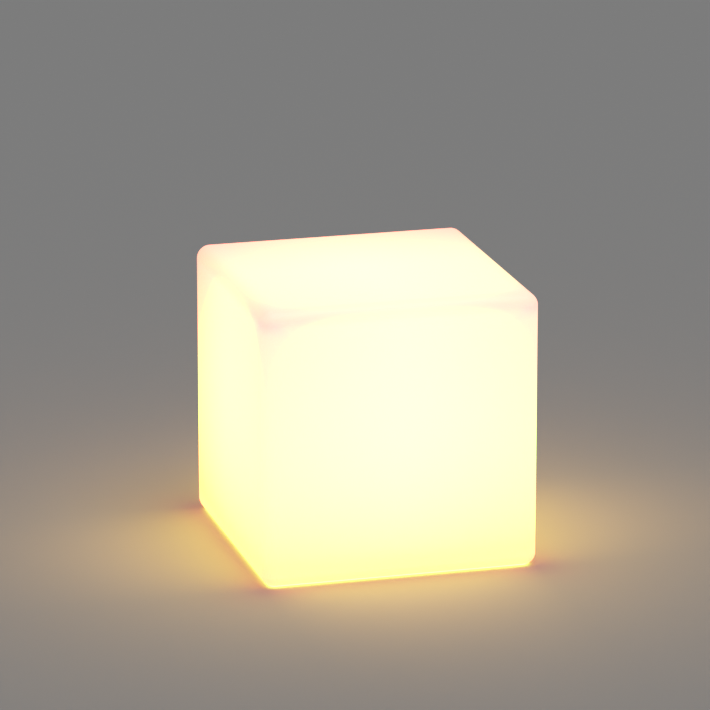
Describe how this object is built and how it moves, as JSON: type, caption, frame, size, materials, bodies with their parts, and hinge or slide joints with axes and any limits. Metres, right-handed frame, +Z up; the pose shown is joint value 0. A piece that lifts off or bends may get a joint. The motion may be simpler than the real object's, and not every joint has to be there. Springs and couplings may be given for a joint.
{
  "type": "cube lamp",
  "caption": "Glowing cube lamp: hollow translucent cube with thick rounded edges, lit from inside by a rechargeable light unit screwed into a round recess in its base.",
  "frame": {"origin": "on the ground under the middle of the cube", "axes": "+Z up, +X and +Y square to the cube's sides; the picture shows the -Y side, the -X side and the top"},
  "size_m": [0.4, 0.4, 0.4],
  "materials": {
    "polyethylene": "satin, translucent, glows warm white",
    "housing": "fine satin",
    "soft": "matte",
    "steel": "bright",
    "brass": "machined",
    "black_plastic": "fine satin",
    "button": "fine satin",
    "clear": "clear moulded",
    "board": "varnished",
    "white_board": "varnished",
    "diodes": "clear gel",
    "copper": "wound",
    "foam": "foam",
    "cell_wrap": "shrink sleeve",
    "nickel": "plain",
    "aluminium": "sheet",
    "wire": "insulated",
    "pad": "soft"
  },
  "bodies": {
    "lamp": {"cube_shell": "polyethylene", "threaded_inserts": "brass", "base_cover": "housing", "cover_gasket": "soft", "cover_screws": "steel", "switch_body": "black_plastic", "charging_socket": "black_plastic", "socket_seal": "soft", "socket_nut": "steel", "cap_anchor": "black_plastic", "cap_pin": "steel", "charge_indicator": "clear", "status_diode": "diodes", "control_board": "board", "board_screws": "steel", "board_chips": "black_plastic", "board_inductor": "copper", "board_capacitor": "aluminium", "led_connector": "white_board", "battery_cells": "cell_wrap", "cell_strips": "nickel", "cell_pads": "foam", "socket_leads": "wire", "led_leads": "wire", "grommet": "soft", "heat_spreader": "aluminium", "spreader_gasket": "soft", "thermal_pad": "pad", "led_board": "white_board", "led_chips": "diodes", "led_screws": "steel", "dome": "clear", "dome_gasket": "soft", "dome_screws": "steel"},
    "power_button": {"power_button": "button", "button_seal": "soft", "switch_plunger": "black_plastic"},
    "port_cap": {"port_cap": "soft"}
  },
  "joints": [
    {"name": "power_button_press", "type": "slide", "parent": "lamp", "child": "power_button", "axis": [0, 0, 1], "range_m": [0, 0.0015], "stiffness_N_per_m": 450, "springref_m": -0.002},
    {"name": "port_cap_swing", "type": "hinge", "parent": "lamp", "child": "port_cap", "pos_m": [0.032, 0, 0.0065], "axis": [0, -1, 0], "range_deg": [0, 150], "stiffness_Nm_per_rad": 0.001, "springref_deg": -11.46}
  ]
}
